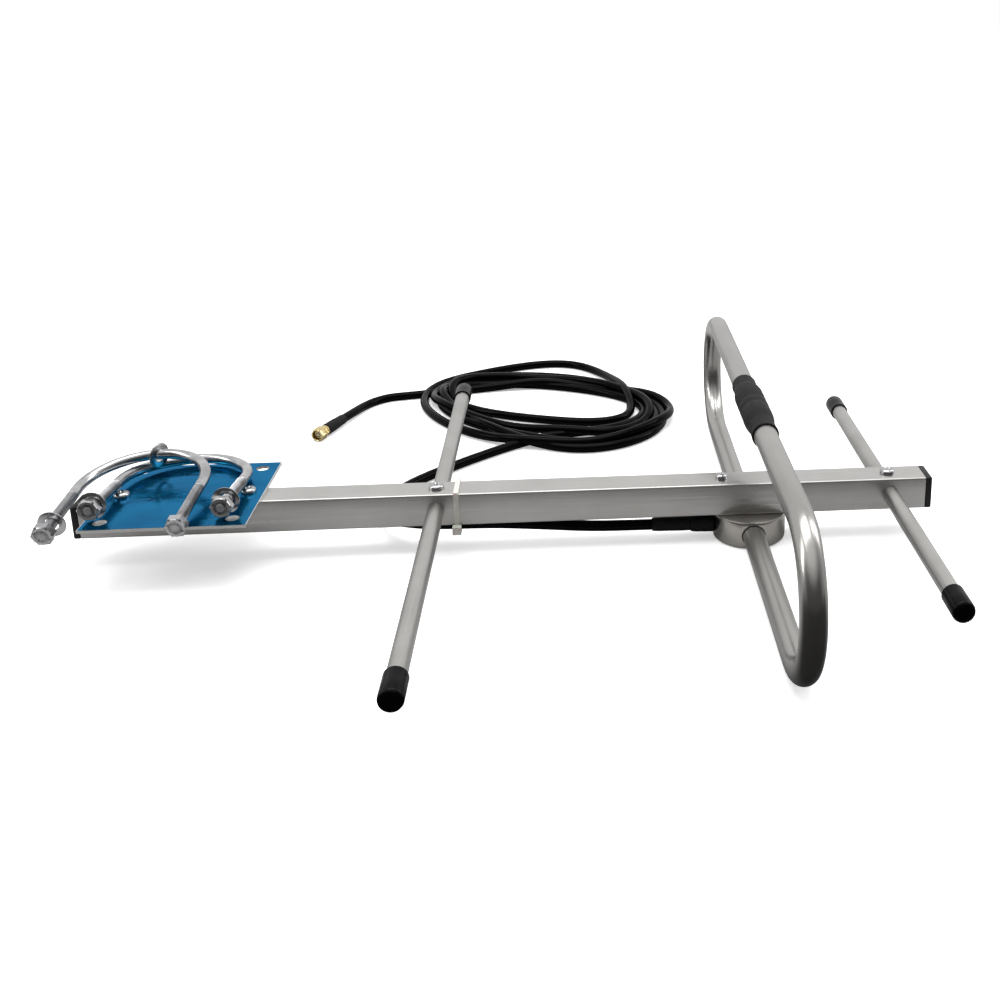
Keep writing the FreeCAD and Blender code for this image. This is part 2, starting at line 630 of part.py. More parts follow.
box_side = size("dipole_place") - size("feedbox_size") / 2
on_floor = ground + size("cable_size") / 2
under_boom = boom_floor - size("cable_size") / 2 - 0.1

# The lead leaves the feed box, runs under the boom to the tie, and turns back behind it to the coil.
LEAD_ROUTE = [
    Vector(box_side + 4.0, 0.0, dipole_low), Vector(214.0, 0.0, dipole_low), Vector(163.0, -0.4, under_boom),
    Vector(124.0, 1.0, under_boom - 0.4), Vector(103.0, 14.0, under_boom - 2.5), Vector(93.0, 37.0, -29.0),
    Vector(96.0, 63.0, -32.0), Vector(110.0, 87.0, on_floor), Vector(131.0, 108.0, on_floor + 0.2),
    Vector(154.0, 130.0, on_floor),
]

# The plug's axis leaves the last run of the tail; the plug lies on the floor.
PLUG_WAY = Vector(-0.36, -0.933, 0.0).normalize()
plug_height = ground + size("plug_nut_flats") / 2 + 0.4
BOOT_REAR = Vector(46.5, 193.0, plug_height)
TAIL_ROUTE = [
    Vector(102.0, 239.0, on_floor + 1.0), Vector(81.0, 243.0, on_floor), Vector(63.5, 233.5, on_floor),
    BOOT_REAR - PLUG_WAY * 22.0, BOOT_REAR + PLUG_WAY * 20.0,
]


def build_cable():
    cable = size("cable_size")
    keep_shape("cable_lead", solid_along(LEAD_ROUTE, cable))
    keep_shape("cable_tail", solid_along(TAIL_ROUTE, cable))
    centre = Vector(size("coil_x"), size("coil_y"), ground)
    discs = []
    for long, deep in (("coil_long", "coil_deep"), ("coil_hole_long", "coil_hole_deep")):
        edge = Part.Ellipse(centre, size(long), size(deep)).toShape()
        discs.append(Part.Face(Part.Wire([edge])).extrude(Vector(0, 0, size("coil_tall"))))
    keep_shape("cable_coil", discs[0].cut(discs[1]))

    # Two shrink tubes stacked on the cable where it leaves the feed box.
    wall = "Sizes.dipole_place - Sizes.feedbox_size / 2"
    for label, width, length, start in (
            ("feed_shrink_wide", "Sizes.feed_shrink_size", "Sizes.feed_shrink_length", wall),
            ("feed_shrink_thin", "Sizes.thin_shrink_size", "Sizes.thin_shrink_length",
             wall + " - Sizes.feed_shrink_length")):
        low = "%s - %s" % (start, length)
        outer = cylinder("%s / 2" % width, length, low, "0", DIPOLE_LOW, "X")
        inner = cylinder("Sizes.cable_size / 2", length, low, "0", DIPOLE_LOW, "X")
        keep(cut(outer, [inner]), label)

    # Inside the feed box the cable's core and braid go to the two lugs, soldered beside the screws.
    wire = size("wire_size")
    terminal_face = size("dipole_place") - size("dipole_tube") / 2 - size("lug_thick")
    solder_place = size("terminal_offset") - size("terminal_head") / 2 - wire / 2 - 0.1
    for label, side in (("core_wire", -1), ("braid_wire", 1)):
        route = [
            Vector(box_side + 3.8, side * 0.9, dipole_low),
            Vector(box_side + 7.5, side * 1.2, dipole_low),
            Vector(terminal_face - 0.1, side * solder_place, dipole_low),
        ]
        keep_shape(label, solid_along(route, wire))


def build_tie():
    """Nylon cable tie round the boom and the cable: one piece with its head at the front."""
    body = new_body("cable_tie")
    place_by(body, "Sizes.tie_place - Sizes.tie_width / 2")
    side = "Sizes.boom_side / 2"
    keel = "(%s - Sizes.cable_size - 0.25)" % BOOM_FLOOR
    waist = "Sizes.cable_size / 2"
    inside = [
        (side, BOOM_TOP), ("0 - " + side, BOOM_TOP), ("0 - " + side, BOOM_FLOOR),
        ("0 - " + waist, keel), (waist, keel), (side, BOOM_FLOOR),
    ]
    reach = "(%s + Sizes.tie_thick)" % side
    belly = "(%s - Sizes.tie_thick)" % keel
    outside = [
        (reach, BOOM_TOP + " + Sizes.tie_thick"), ("0 - " + reach, BOOM_TOP + " + Sizes.tie_thick"),
        ("0 - " + reach, BOOM_FLOOR), ("0 - %s - Sizes.tie_thick / 2" % waist, belly),
        ("%s + Sizes.tie_thick / 2" % waist, belly), (reach, BOOM_FLOOR),
    ]
    loop = new_sketch(body, "YZ_Plane")
    outline(loop, outside)
    outline(loop, inside)
    pad(body, loop, "Sizes.tie_width")
    doc.recompute()
    head = new_sketch(body, "YZ_Plane", "Sizes.tie_width / 2 - Sizes.tie_head / 2")
    near = "(0 - %s)" % reach
    outline(head, [
        ("%s + 0.4" % near, "%s + 0.7" % BOOM_FLOOR), ("%s - 3.6" % near, "%s + 0.7" % BOOM_FLOOR),
        ("%s - 3.6" % near, "%s - 3.6" % BOOM_FLOOR), ("%s + 2.2" % near, "%s - 3.6" % BOOM_FLOOR),
        ("%s + 0.4" % near, "%s - 1.0" % BOOM_FLOOR),
    ])
    pad(body, head, "Sizes.tie_head")


# ---------------------------------------------------------------- coaxial plug
def plug_frame(along):
    """A placement on the plug's axis, along millimetres from the boot's rear end."""
    return Placement(BOOT_REAR + PLUG_WAY * along, Rotation(Vector(0, 0, 1), PLUG_WAY))


def tube_piece(outer, inner, length):
    return cut(cylinder(outer, length), [cylinder(inner, length)])


def build_plug():
    cable = "Sizes.cable_size / 2"
    boot_end = size("boot_length")
    ferrule_length = "(Sizes.boot_length - Sizes.ferrule_start)"
    boot_outer = cylinder("Sizes.boot_size / 2", "Sizes.boot_length")
    boot_bore = cylinder(cable, "Sizes.boot_length")
    ferrule_room = cylinder("Sizes.ferrule_size / 2", ferrule_length, "0", "0", "Sizes.ferrule_start")
    keep(cut(boot_outer, [boot_bore, ferrule_room]), "plug_boot").Placement = plug_frame(0)
    keep(tube_piece("Sizes.ferrule_size / 2", cable, ferrule_length),
         "plug_ferrule").Placement = plug_frame(size("ferrule_start"))

    flange = cylinder("Sizes.plug_body_size / 2", "Sizes.plug_body_length")
    neck = cylinder("Sizes.plug_neck / 2", "Sizes.plug_body_length + Sizes.plug_neck_length")
    core_room = cylinder("Sizes.plug_core / 2", "Sizes.plug_body_length + Sizes.plug_neck_length")
    keep(cut(fuse([flange, neck]), [core_room]), "plug_body").Placement = plug_frame(boot_end)
    keep(tube_piece("Sizes.plug_core / 2", "Sizes.plug_pin / 2",
                    "Sizes.plug_body_length + Sizes.plug_neck_length - 1"),
         "plug_insulator").Placement = plug_frame(boot_end)
    keep(cylinder("Sizes.plug_pin / 2", "Sizes.plug_body_length + Sizes.plug_neck_length"),
         "plug_pin").Placement = plug_frame(boot_end)

    nut = new_body("plug_nut")
    sketch = new_sketch(nut, "XY_Plane")
    hexagon(sketch, "Sizes.plug_nut_flats")
    ring(sketch, "0", "0", "Sizes.plug_neck / 2 + Sizes.thread_play")
    pad(nut, sketch, "Sizes.plug_nut_length")
    mouth = new_sketch(nut, "XY_Plane", "Sizes.plug_nut_lip")
    ring(mouth, "0", "0", "Sizes.plug_nut_bore / 2")
    feature = nut.newObject("PartDesign::Pocket", "pocket")
    feature.Profile = mouth
    feature.setExpression("Length", "Sizes.plug_nut_length")
    feature.Reversed = True
    nut.Placement = plug_frame(boot_end + size("plug_body_length") + size("plug_nut_gap"))


build_boom()
build_boom_caps()
build_plate()
build_screws()
build_element("reflector")
build_element("director")
build_dipole()
build_feed_box()
build_ubolts()
build_cable()
build_tie()
build_plug()
doc.recompute()

# ---------------------------------------------------------------- checks and files
for item in doc.Objects:
    if "Invalid" in item.State or "Error" in item.State:
        raise RuntimeError("%s (%s) failed: %s" % (item.Name, item.Label, item.State))
for piece in subparts:
    if piece.Shape.isNull() or not piece.Shape.isValid() or piece.Shape.Volume <= 0:
        raise RuntimeError("%s has no sound shape" % piece.Label)

os.makedirs("parts", exist_ok=True)
for piece in subparts:
    piece.Shape.exportStep("parts/%s.step" % piece.Label)
    box = piece.Shape.BoundBox
    print("%-20s %9.1f mm3  solids %d  x %.1f..%.1f  y %.1f..%.1f  z %.1f..%.1f" % (
        piece.Label, piece.Shape.Volume, len(piece.Shape.Solids),
        box.XMin, box.XMax, box.YMin, box.YMax, box.ZMin, box.ZMax))
print("sub-parts:", len(subparts))
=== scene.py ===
import math

import bmesh
import bpy
from mathutils import Matrix, Vector


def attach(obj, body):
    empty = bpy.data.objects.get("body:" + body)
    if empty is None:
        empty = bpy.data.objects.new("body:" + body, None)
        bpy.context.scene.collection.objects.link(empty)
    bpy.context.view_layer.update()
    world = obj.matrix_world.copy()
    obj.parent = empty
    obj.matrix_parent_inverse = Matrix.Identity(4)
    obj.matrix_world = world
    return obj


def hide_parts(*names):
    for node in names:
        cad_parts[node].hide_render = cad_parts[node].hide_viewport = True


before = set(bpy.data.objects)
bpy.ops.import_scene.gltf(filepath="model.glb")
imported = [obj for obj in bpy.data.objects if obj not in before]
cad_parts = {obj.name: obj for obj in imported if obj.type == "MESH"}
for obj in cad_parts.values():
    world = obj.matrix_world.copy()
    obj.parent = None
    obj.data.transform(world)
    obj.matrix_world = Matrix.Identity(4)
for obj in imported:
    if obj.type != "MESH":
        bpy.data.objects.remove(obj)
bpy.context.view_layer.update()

# A short yagi antenna lying on a pale floor: boom along +X, elements along Y, +Z up.
# Lengths are in metres, taken from the design.
MM = 0.001
FLOOR = -35.5 * MM
BOOM_AXIS = -10.5 * MM
BOOM_TOP = -1.5 * MM
BOOM_FLOOR = -19.5 * MM
DIPOLE_X = 301 * MM
DIPOLE_LOW = -27.5 * MM
DIPOLE_HIGH = 42.5 * MM
DIPOLE_RADIUS = 6 * MM
BOOM_LENGTH = 450 * MM
BOOM_SIDE = 18 * MM
BOOM_MIDDLE = 172.5 * MM
CABLE = 6 * MM


# ---------------------------------------------------------------- camera, floor and light
def set_camera():
    data = bpy.data.cameras.new("camera")
    data.sensor_width = 36
    data.lens = 44.03
    data.shift_x = -0.175
    data.shift_y = -0.167
    data.clip_start = 0.01
    data.clip_end = 20
    camera = bpy.data.objects.new("camera", data)
    camera.location = (0.2064, -0.6161, 0.2655)
    camera.rotation_euler = (math.radians(73.5), 0, math.radians(-4.96))
    bpy.context.scene.collection.objects.link(camera)
    bpy.context.scene.camera = camera


def softbox(name, place, aim, wide, tall, watts):
    data = bpy.data.lights.new(name, "AREA")
    data.shape = "RECTANGLE"
    data.size = wide
    data.size_y = tall
    data.energy = watts
    lamp = bpy.data.objects.new(name, data)
    lamp.location = place
    lamp.rotation_euler = (Vector(aim) - Vector(place)).to_track_quat("-Z", "Y").to_euler()
    bpy.context.scene.collection.objects.link(lamp)


def set_light():
    """A bright room behind and above, darker where one would stand, and three softboxes."""
    world = bpy.data.worlds.new("studio")
    world.use_nodes = True
    tree = world.node_tree
    background = tree.nodes["Background"]
    direction = tree.nodes.new("ShaderNodeTexCoord")
    split = tree.nodes.new("ShaderNodeSeparateXYZ")
    tree.links.new(direction.outputs["Generated"], split.inputs["Vector"])
    depth = tree.nodes.new("ShaderNodeMapRange")
    depth.inputs["From Min"].default_value = -0.55
    depth.inputs["From Max"].default_value = 0.5
    depth.inputs["To Min"].default_value = 0.1
    depth.inputs["To Max"].default_value = 0.95
    tree.links.new(split.outputs["Y"], depth.inputs["Value"])
    height = tree.nodes.new("ShaderNodeMapRange")
    height.inputs["From Min"].default_value = 0.45
    height.inputs["From Max"].default_value = 0.85
    height.inputs["To Max"].default_value = 1.1
    tree.links.new(split.outputs["Z"], height.inputs["Value"])
    brighter = tree.nodes.new("ShaderNodeMath")
    brighter.operation = "MAXIMUM"
    tree.links.new(depth.outputs["Result"], brighter.inputs[0])
    tree.links.new(height.outputs["Result"], brighter.inputs[1])
    seen = tree.nodes.new("ShaderNodeLightPath")
    backdrop = tree.nodes.new("ShaderNodeMath")
    backdrop.operation = "MAXIMUM"
    tree.links.new(brighter.outputs[0], backdrop.inputs[0])
    tree.links.new(seen.outputs["Is Camera Ray"], backdrop.inputs[1])
    tree.links.new(backdrop.outputs[0], background.inputs["Strength"])
    background.inputs["Color"].default_value = (1, 1, 1, 1)
    bpy.context.scene.world = world
    softbox("top softbox", (0.15, 0.15, 1.2), (0.17, 0.05, 0), 1.1, 0.7, 9)
    softbox("left softbox", (-1.0, -0.1, 0.8), (0.1, 0, 0), 0.35, 0.9, 5)
    softbox("right softbox", (1.2, 0.4, 0.7), (0.3, 0, 0), 0.35, 0.9, 4)
    bpy.context.scene.view_settings.view_transform = "Standard"


# ---------------------------------------------------------------- materials
def new_finish(name, colour, metallic, roughness):
    """A principled finish, its shader node and its node tree."""
    finish = bpy.data.materials.new(name)
    finish.use_nodes = True
    tree = finish.node_tree
    shader = tree.nodes["Principled BSDF"]
    shader.inputs["Base Color"].default_value = (*colour, 1)
    shader.inputs["Metallic"].default_value = metallic
    shader.inputs["Roughness"].default_value = roughness
    return finish, shader, tree


def surface_noise(tree, grain, stretch=(1, 1, 1), detail=3.0):
    """Noise on object coordinates, drawn out where stretch is small."""
    place = tree.nodes.new("ShaderNodeTexCoord")
    mapping = tree.nodes.new("ShaderNodeMapping")
    mapping.inputs["Scale"].default_value = stretch
    noise = tree.nodes.new("ShaderNodeTexNoise")
    noise.inputs["Scale"].default_value = grain
    noise.inputs["Detail"].default_value = detail
    tree.links.new(place.outputs["Object"], mapping.inputs["Vector"])
    tree.links.new(mapping.outputs["Vector"], noise.inputs["Vector"])
    return noise.outputs["Fac"]


def vary(tree, source, socket, low, high):
    """The source drives one socket between two values."""
    spread = tree.nodes.new("ShaderNodeMapRange")
    spread.inputs["From Min"].default_value = 0.3
    spread.inputs["From Max"].default_value = 0.7
    spread.inputs["To Min"].default_value = low
    spread.inputs["To Max"].default_value = high
    tree.links.new(source, spread.inputs["Value"])
    tree.links.new(spread.outputs["Result"], socket)


def tint(tree, source, shader, dark, light):
    ramp = tree.nodes.new("ShaderNodeValToRGB")
    ramp.color_ramp.elements[0].position = 0.3
    ramp.color_ramp.elements[0].color = (*dark, 1)
    ramp.color_ramp.elements[1].position = 0.7
    ramp.color_ramp.elements[1].color = (*light, 1)
    tree.links.new(source, ramp.inputs["Fac"])
    tree.links.new(ramp.outputs["Color"], shader.inputs["Base Color"])


def roughen(tree, source, shader, height):
    bump = tree.nodes.new("ShaderNodeBump")
    bump.inputs["Strength"].default_value = 1.0
    bump.inputs["Distance"].default_value = height
    tree.links.new(source, bump.inputs["Height"])
    tree.links.new(bump.outputs["Normal"], shader.inputs["Normal"])


def drawn_aluminium(name, stretch, dark, light, smooth, rough):
    """Satin anodised tube: fine die lines along it, faint clouds across it."""
    finish, shader, tree = new_finish(name, light, 1.0, rough)
    lines = surface_noise(tree, 900, stretch)
    clouds = surface_noise(tree, 35, (1, 1, 1), 4.0)
    tint(tree, clouds, shader, dark, light)
    vary(tree, lines, shader.inputs["Roughness"], smooth, rough)
    roughen(tree, lines, shader, 0.00002)
    return finish


def bent_aluminium():
    """The dipole's tube: satin runs, and bends polished by the bending tool."""
    finish, shader, tree = new_finish("dipole tube", (0.55, 0.54, 0.52), 1.0, 0.4)
    clouds = surface_noise(tree, 40, (1, 0.3, 1), 4.0)
    tint(tree, clouds, shader, (0.34, 0.33, 0.315), (0.44, 0.43, 0.415))
    place = tree.nodes.new("ShaderNodeTexCoord")
    split = tree.nodes.new("ShaderNodeSeparateXYZ")
    away = tree.nodes.new("ShaderNodeMath")
    away.operation = "ABSOLUTE"
    bend = tree.nodes.new("ShaderNodeMapRange")
    bend.inputs["From Min"].default_value = 0.128
    bend.inputs["From Max"].default_value = 0.15
    bend.inputs["To Min"].default_value = 0.36
    bend.inputs["To Max"].default_value = 0.25
    tree.links.new(place.outputs["Object"], split.inputs["Vector"])
    tree.links.new(split.outputs["Y"], away.inputs[0])
    tree.links.new(away.outputs[0], bend.inputs["Value"])
    tree.links.new(bend.outputs["Result"], shader.inputs["Roughness"])
    roughen(tree, surface_noise(tree, 700, (1, 0.05, 1)), shader, 0.000015)
    return finish


def zinc_plate(name, dark, light, smooth, rough, depth):
    """Zinc with a faint uneven haze."""
    finish, shader, tree = new_finish(name, light, 1.0, rough)
    haze = surface_noise(tree, 260, (1, 1, 1), 5.0)
    tint(tree, surface_noise(tree, 120), shader, dark, light)
    vary(tree, haze, shader.inputs["Roughness"], smooth, rough)
    roughen(tree, haze, shader, depth)
    return finish


def turned_metal():
    """The feed box: fine turned grain on a warm grey satin metal."""
    finish, shader, tree = new_finish("turned box", (0.47, 0.45, 0.42), 1.0, 0.22)
    tint(tree, surface_noise(tree, 60), shader, (0.44, 0.42, 0.39), (0.50, 0.48, 0.45))
    vary(tree, surface_noise(tree, 300, (0.15, 0.15, 1)), shader.inputs["Roughness"], 0.18, 0.26)
    return finish


def film_finish():
    """Blue translucent film, glossy, with soft wrinkles and paler creases."""
    finish, shader, tree = new_finish("blue film", (0.015, 0.18, 0.40), 0.88, 0.2)
    wrinkles = surface_noise(tree, 22, (1, 1.8, 1), 4.0)
    tint(tree, wrinkles, shader, (0.001, 0.105, 0.22), (0.008, 0.19, 0.36))
    vary(tree, surface_noise(tree, 90), shader.inputs["Roughness"], 0.1, 0.24)
    roughen(tree, wrinkles, shader, 0.0012)
    shader.inputs["Specular Tint"].default_value = (0.12, 0.6, 0.9, 1)
    shader.inputs["Coat Weight"].default_value = 0.06
    shader.inputs["Coat Roughness"].default_value = 0.08
    return finish


def soft_plastic(name, colour, smooth, rough, grain, depth, sheen=0.2):
    """Black vinyl, jacket or shrink tube: a fine skin that varies in sheen."""
    finish, shader, tree = new_finish(name, colour, 0.0, rough)
    shader.inputs["Specular IOR Level"].default_value = sheen
    skin = surface_noise(tree, grain, (1, 1, 1), 4.0)
    tint(tree, skin, shader, tuple(0.7 * c for c in colour), tuple(1.4 * c for c in colour))
    vary(tree, skin, shader.inputs["Roughness"], smooth, rough)
    roughen(tree, skin, shader, depth)
    return finish


def nylon_finish():
    finish, shader, tree = new_finish("natural nylon", (0.66, 0.66, 0.60), 0.0, 0.4)
    tint(tree, surface_noise(tree, 300), shader, (0.58, 0.58, 0.52), (0.72, 0.72, 0.67))
    shader.inputs["Subsurface Weight"].default_value = 0.3
    shader.inputs["Subsurface Scale"].default_value = 0.001
    return finish


def plated(name, dark, light, rough):
    finish, shader, tree = new_finish(name, light, 1.0, rough)
    tint(tree, surface_noise(tree, 400), shader, dark, light)
    vary(tree, surface_noise(tree, 900), shader.inputs["Roughness"], rough * 0.7, rough * 1.3)
    return finish


BOOM_FINISH = drawn_aluminium("boom", (0.02, 1, 1), (0.46, 0.45, 0.435), (0.52, 0.51, 0.495), 0.26, 0.42)
ELEMENT_FINISH = drawn_aluminium(
    "element tube", (1, 0.02, 1), (0.38, 0.375, 0.36), (0.46, 0.45, 0.435), 0.3, 0.46)
SHEET_FINISH = drawn_aluminium("plate sheet", (1, 0.05, 1), (0.6, 0.6, 0.59), (0.68, 0.68, 0.67), 0.25, 0.4)
DIPOLE_FINISH = bent_aluminium()
ZINC = zinc_plate("zinc plate", (0.36, 0.36, 0.365), (0.54, 0.54, 0.55), 0.16, 0.28, 0.00002)
# The rolled thread is darker than the plain zinc. This is painted shade for the shade between its fine ribs,
# which smooth shading loses at this size.
SHADED_THREAD = zinc_plate("rolled thread", (0.30, 0.30, 0.31), (0.50, 0.50, 0.51), 0.25, 0.42, 0.0001)
BOX_FINISH = turned_metal()
FILM = film_finish()
VINYL = soft_plastic("vinyl cap", (0.002, 0.002, 0.0022), 0.2, 0.3, 500, 0.00001, 0.08)
PLUG_PLASTIC = soft_plastic("moulded plastic", (0.014, 0.014, 0.015), 0.35, 0.5, 700, 0.00003)
SHRINK = soft_plastic("shrink tube", (0.009, 0.0092, 0.0098), 0.5, 0.7, 450, 0.00008, 0.12)
JACKET = soft_plastic("cable jacket", (0.001, 0.001, 0.0011), 0.14, 0.22, 260, 0.000005, 0.05)
NYLON = nylon_finish()
GOLD = plated("gold plate", (0.58, 0.44, 0.17), (0.84, 0.69, 0.36), 0.22)
COPPER = plated("copper", (0.60, 0.27, 0.16), (0.82, 0.44, 0.30), 0.35)
WHITE_PLASTIC = soft_plastic("white plastic", (0.6, 0.6, 0.58), 0.35, 0.5, 400, 0.00002)


# ---------------------------------------------------------------- making pieces
def add_piece(bm, name, finish, nodes=(), body="antenna", smooth=35):
    """The finished mesh as a piece that stands for its design nodes and rides on its body."""
    bmesh.ops.remove_doubles(bm, verts=bm.verts, dist=0.0000005)
    bmesh.ops.recalc_face_normals(bm, faces=bm.faces)
    mesh = bpy.data.meshes.new(name)
    bm.to_mesh(mesh)
    bm.free()
    mesh.shade_smooth()
    mesh.set_sharp_from_angle(angle=math.radians(smooth))
    piece = bpy.data.objects.new(name.replace(" ", "-"), mesh)
    piece.data.materials.append(finish)
    bpy.context.scene.collection.objects.link(piece)
    if nodes:
        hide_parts(*nodes)
    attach(piece, body)
    return piece


def turned(bm, profile, place, steps=48, ring=False):
    """Spins a profile of (radius, height) points round the local Z, then puts it in place."""
    points = [bm.verts.new((radius, 0, height)) for radius, height in profile]
    edges = [bm.edges.new(pair) for pair in zip(points, points[1:])]
    if ring:
        edges.append(bm.edges.new((points[-1], points[0])))
    bmesh.ops.spin(
        bm, geom=points + edges, cent=(0, 0, 0), axis=(0, 0, 1), angle=2 * math.pi, steps=steps, use_merge=True)
    faces = set()
    for point in points:
        faces.update(point.link_faces)
    shell = connected(faces)
    corners = list({corner for face in shell for corner in face.verts})
    bmesh.ops.transform(bm, matrix=place, verts=corners)


def connected(faces):
    """Every face that hangs together with these."""
    found = set(faces)
    edge_of = list(faces)
    while edge_of:
        face = edge_of.pop()
        for edge in face.edges:
            for other in edge.link_faces:
                if other not in found:
                    found.add(other)
                    edge_of.append(other)
    return found


ALONG_X = Matrix.Rotation(math.pi / 2, 4, "Y")
ALONG_Y = Matrix.Rotation(-math.pi / 2, 4, "X")


def at(x, y, z, turn=Matrix()):
    return Matrix.Translation((x, y, z)) @ turn


def rounded_block(bm, low, high, edge):
    """A block between two corners with its edges rounded."""
    made = bmesh.ops.create_cube(bm, size=1)
    middle = (Vector(low) + Vector(high)) / 2
    span = Vector(high) - Vector(low)
    bmesh.ops.transform(bm, matrix=Matrix.Translation(middle) @ Matrix.Diagonal((*span, 1)), verts=made["verts"])
    edges = list({e for v in made["verts"] for e in v.link_edges})
    bmesh.ops.bevel(
        bm, geom=edges, offset=edge, segments=3, profile=0.5, affect="EDGES", material=-1, clamp_overlap=True)


def bent_rod(bm, radius, start, runs, centre, axis, angle, place=Matrix(), sides=32, steps=40):
    """A round rod: a straight run, a bend about the centre, and a second straight run."""
    first, second = runs
    made = bmesh.ops.create_circle(bm, cap_ends=True, radius=radius, segments=sides)
    bmesh.ops.transform(bm, matrix=start, verts=made["verts"])
    face = [f for f in bm.faces if set(made["verts"]) == set(f.verts)][0]
    begun = list(made["verts"])
    face = push(bm, face, first)
    bent = bmesh.ops.spin(
        bm, geom=[face, *face.edges, *face.verts], cent=centre, axis=axis, angle=angle, steps=steps)
    face = [item for item in bent["geom_last"] if isinstance(item, bmesh.types.BMFace)][0]
    push(bm, face, second)
    shell = connected(set(begun[0].link_faces))
    corners = list({corner for item in shell for corner in item.verts})
    bmesh.ops.transform(bm, matrix=place, verts=corners)


def push(bm, face, run):
    """Draws a face out along a run and returns the new face."""
    made = bmesh.ops.extrude_face_region(bm, geom=[face])
    corners = [item for item in made["geom"] if isinstance(item, bmesh.types.BMVert)]
    bmesh.ops.translate(bm, vec=run, verts=corners)
    bmesh.ops.delete(bm, geom=[face], context="FACES_ONLY")
    return [item for item in made["geom"] if isinstance(item, bmesh.types.BMFace)][0]


# ---------------------------------------------------------------- cable
def settle(points, thick, rounds):
    """Loose turns pushed apart where they cross, let down on the floor and smoothed a little."""
    same_bend = 8
    upward = 1.3
    blend = 0.25
    sink = 0.00016
    last_passes = 5
    count = len(points)
    rest = FLOOR + CABLE / 2
    shifts = [Vector((0, 0, 0)) for _ in points]
    for _ in range(rounds):
        now = [point + shift for point, shift in zip(points, shifts)]
        for first in range(count):
            for second in range(first + same_bend, count):
                gap = now[second] - now[first]
                if abs(gap.x) > thick or abs(gap.y) > thick or gap.length > thick:
                    continue
                over = 1 if gap.z >= 0 else -1
                away = (gap.normalized() + Vector((0, 0, upward * over))).normalized()
                push_apart = away * (thick - gap.length) * 0.5
                shifts[second] = shifts[second] + push_apart
                shifts[first] = shifts[first] - push_apart
        shifts[0] = shifts[-1] = Vector((0, 0, 0))
        smoothed = list(shifts)
        for index in range(1, count - 1):
            middle = (shifts[index - 1] + shifts[index + 1]) / 2
            smoothed[index] = shifts[index].lerp(middle, blend)
            smoothed[index].z -= sink
            smoothed[index].z = max(smoothed[index].z, rest - points[index].z)
        shifts = smoothed
    rested = [point + shift for point, shift in zip(points, shifts)]
    for _ in range(last_passes):
        middles = [(before + after) / 2 for before, after in zip(rested, rested[2:])]
        rested[1:-1] = [spot.lerp(middle, 0.5) for spot, middle in zip(rested[1:-1], middles)]
    return rested


# Where each loose turn passes, seen from above: front, right, back and left, two places each.
# The last turn leaves at its back. The rise is from the first turn to the last.
COIL_RISE = 14 * MM
COIL_TURNS = [
    [(186, 154), (228, 158), (256, 188), (246, 224), (196, 254), (140, 260), (108, 236), (126, 194)],
    [(180, 145), (234, 141), (262, 174), (256, 222), (206, 266), (146, 272), (110, 248), (124, 204)],
    [(180, 136), (230, 130), (264, 164), (260, 214), (212, 270), (142, 282), (106, 256), (116, 204)],
    [(184, 158), (236, 159), (260, 186), (250, 226), (196, 266), (136, 270), (116, 236), (142, 202)],
    [(192, 182), (224, 176), (247, 194), (238, 246), (208, 313), (142, 292), (96, 250), (113, 188)],
    [(166, 141), (224, 135), (268, 170), (264, 216), (210, 254), (150, 258)],
]


def coil_points():
    """The loose turns as a closely stepped smooth line, wound anticlockwise and rising as it goes."""
    way_in = [(108, 84), (132, 108)]
    way_out = [(112, 247), (84, 242.5)]
    turns = [stop for turn in COIL_TURNS for stop in turn]
    passed = [Vector(stop) for stop in way_in + turns + way_out]
    # The smooth line cuts inside its stops, so each one between the ends is drawn outwards by the cut.
    stops = list(passed)
    for index in range(2, len(passed) - 2):
        stops[index] = passed[index] + (2 * passed[index] - passed[index - 1] - passed[index + 1]) / 6
    steps = 7
    count = steps * (len(stops) - 3)
    points = []
    for index in range(count + 1):
        low = min(index // steps, len(stops) - 4)
        t = index / steps - low
        before, start, end, after = (stop.to_3d() for stop in stops[low:low + 4])
        middle = start * (3 * t ** 3 - 6 * t ** 2 + 4) + end * (3 * (t + t ** 2 - t ** 3) + 1)
        spot = (before * (1 - t) ** 3 + middle + after * t ** 3) / 6 * MM
        share = index / count
        spot.z = FLOOR + CABLE / 2 + COIL_RISE * share * min(1, (1 - share) * 8)
        points.append(spot)
    return points


def make_cable():
    lead = [
        (281, 0, -27.5), (262, 0, -27.5), (240, 0, -27.5), (214, 0, -27.2), (190, -0.2, -25), (163, -0.4, -22.8),
        (142, 0, -22.7), (124, 1.5, -23), (108, 9, -24.2), (97, 24, -27), (93, 42, -30), (97, 63, -32.2),
        (110, 86, -32.7),
    ]
    tail = [
        (84, 242.5, -32.7), (73, 240.5, -32.7), (63, 233, -32.7), (56, 221, -32.4), (51.5, 207, -31.6),
        (46.5, 193, -31.1), (43, 184, -31.1),
    ]
    route = [Vector(point) * MM for point in lead]
    loose = coil_points()
    coil = settle(loose, thick=CABLE * 1.05, rounds=80)
    points = route + coil + [Vector(point) * MM for point in tail]
    curve = bpy.data.curves.new("coaxial cable", "CURVE")
    curve.dimensions = "3D"
    spline = curve.splines.new("NURBS")
    spline.points.add(len(points) - 1)
    for control, point in zip(spline.points, points):
        control.co = (*point, 1)
    spline.order_u = 3
    spline.use_endpoint_u = True
    spline.resolution_u = 6
    curve.bevel_depth = CABLE / 2
    curve.bevel_resolution = 6
    curve.use_fill_caps = True
    curve.materials.append(JACKET)
    cable = bpy.data.objects.new("coaxial-cable", curve)
    bpy.context.scene.collection.objects.link(cable)
    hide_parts("cable_lead", "cable_coil", "cable_tail")
    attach(cable, "antenna")
    length = sum((b - a).length for a, b in zip(points, points[1:]))
    return cable, length


